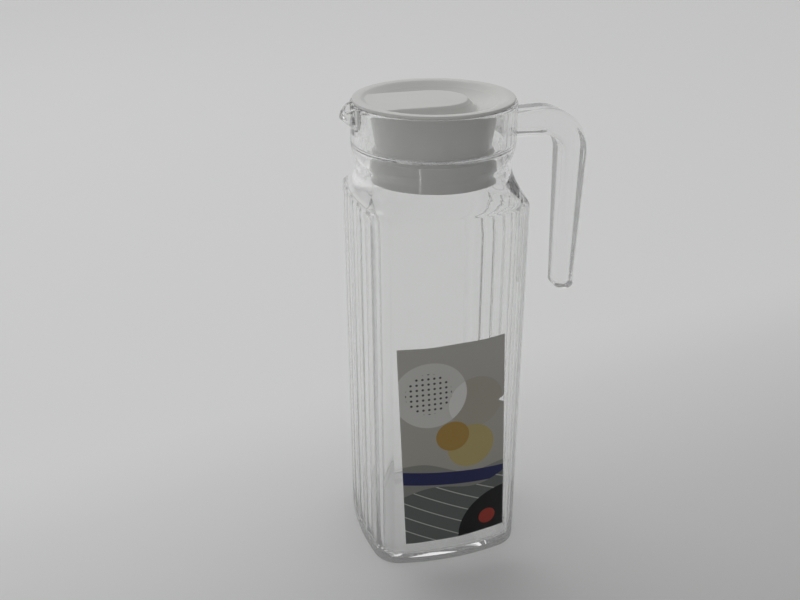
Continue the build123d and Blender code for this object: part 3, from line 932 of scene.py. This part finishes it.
def soft_box(name, place, aim, size, power):
    """Rectangular area lamp at a place, facing a point, in metres and watts."""
    lamp = bpy.data.lights.new(name, "AREA")
    lamp.shape = "RECTANGLE"
    lamp.size, lamp.size_y = size
    lamp.energy = power
    holder = bpy.data.objects.new(name, lamp)
    bpy.context.scene.collection.objects.link(holder)
    back = np.array(place, float) - np.array(aim, float)
    back = back / np.linalg.norm(back)
    right = np.cross((0, 0, 1), back)
    right = right / np.linalg.norm(right)
    holder.matrix_world = frame_matrix(right, np.cross(back, right), back, np.array(place))
    return holder


def frame_matrix(right, up, back, place):
    """Transform whose axes are right, up and back, at a place in metres."""
    matrix = Matrix.Identity(4)
    for row in range(3):
        matrix[row] = (right[row], up[row], back[row], place[row])
    return matrix


def level_ramp(nodes, links, value, levels):
    """Smooth grey ramp over 0..1 through the given places and levels."""
    ramp = nodes.new("ShaderNodeValToRGB")
    ramp.color_ramp.interpolation = "B_SPLINE"
    stops = ramp.color_ramp.elements
    for place, level in levels:
        stop = stops.new(place) if 0 < place < 1 else stops[-int(place)]
        stop.color = (level, level * FAINT_GREEN, level, 1)
    links.new(value, ramp.inputs["Fac"])
    return ramp.outputs["Color"]


def sky_levels(nodes, links, side, levels):
    """Grey over the whole sky, by the angle from a direction: 0 opposite to it and 1 in it."""
    towards = nodes.new("ShaderNodeVectorMath")
    towards.operation = "DOT_PRODUCT"
    towards.inputs[1].default_value = side
    links.new(nodes.new("ShaderNodeTexCoord").outputs["Generated"], towards.inputs[0])
    share = nodes.new("ShaderNodeMapRange")
    share.inputs["From Min"].default_value = -1
    links.new(towards.outputs["Value"], share.inputs["Value"])
    return level_ramp(nodes, links, share.outputs["Result"], levels)


def studio(lid):
    """Soft sky, bright above and behind and dim towards the camera, with two lamps.

    One is a wide soft box. The other is a thin strip that lights the lid only, for the bright line on its plug.
    """
    soft_box("window_light", *WINDOW_LIGHT)
    strip = soft_box("strip_light", *STRIP_LIGHT)
    lid_only = bpy.data.collections.new("lit_by_strip")
    lid_only.objects.link(lid)
    strip.light_linking.receiver_collection = lid_only
    world = bpy.data.worlds.new("studio")
    world.use_nodes = True
    nodes, links = world.node_tree.nodes, world.node_tree.links
    light = nodes["Background"]
    links.new(sky_levels(nodes, links, SKY_BRIGHT_SIDE, SKY_LEVELS), light.inputs["Color"])
    light.inputs["Strength"].default_value = SKY_STRENGTH
    backdrop = nodes.new("ShaderNodeBackground")
    both = nodes.new("ShaderNodeVectorMath")
    links.new(sky_levels(nodes, links, BACKDROP_SIDE, BACKDROP_LEVELS), both.inputs[0])
    links.new(sky_levels(nodes, links, SKY_BRIGHT_SIDE, BACKDROP_PATCH), both.inputs[1])
    links.new(both.outputs["Vector"], backdrop.inputs["Color"])
    seen = either_ray(nodes, links, "Is Camera Ray", "Is Glossy Ray", "Is Transmission Ray")
    mix = nodes.new("ShaderNodeMixShader")
    links.new(seen, mix.inputs[0])
    links.new(light.outputs[0], mix.inputs[1])
    links.new(backdrop.outputs[0], mix.inputs[2])
    links.new(mix.outputs[0], nodes["World Output"].inputs["Surface"])
    bpy.context.scene.world = world
    paths = bpy.context.scene.cycles
    paths.max_bounces = 32
    paths.glossy_bounces = 24
    paths.transmission_bounces = 32


def photo_camera():
    """Camera at an angle round the jug and above it, with a slight roll."""
    back = np.array((
        math.sin(CAMERA_AZIMUTH) * math.cos(CAMERA_ELEVATION),
        -math.cos(CAMERA_AZIMUTH) * math.cos(CAMERA_ELEVATION),
        math.sin(CAMERA_ELEVATION)))
    right = np.array((math.cos(CAMERA_AZIMUTH), math.sin(CAMERA_AZIMUTH), 0))
    up = np.cross(back, right)
    rolled_right = math.cos(CAMERA_ROLL) * right + math.sin(CAMERA_ROLL) * up
    rolled_up = math.cos(CAMERA_ROLL) * up - math.sin(CAMERA_ROLL) * right
    data = bpy.data.cameras.new("camera")
    data.lens = CAMERA_LENS
    data.sensor_width = CAMERA_SENSOR
    data.sensor_fit = "HORIZONTAL"
    camera = bpy.data.objects.new("camera", data)
    bpy.context.scene.collection.objects.link(camera)
    place = (CAMERA_TARGET + back * CAMERA_DISTANCE) * MM
    camera.matrix_world = frame_matrix(rolled_right, rolled_up, back, place)
    bpy.context.scene.camera = camera


glass = joined_glass(glass_jug(), glass_handle())
glass.data.materials.append(clear_glass())
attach(glass, "jug")
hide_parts("glass_jug", "glass_handle")

lid = lid_stopper()
lid.data.materials.append(white_plastic())
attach(lid, "lid")
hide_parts("lid_stopper")

label = front_label()
label.data.materials.append(label_paper())
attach(label, "jug")
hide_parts("front_label")

pale_floor()
studio(lid)
photo_camera()
bpy.context.scene.view_settings.view_transform = "Standard"
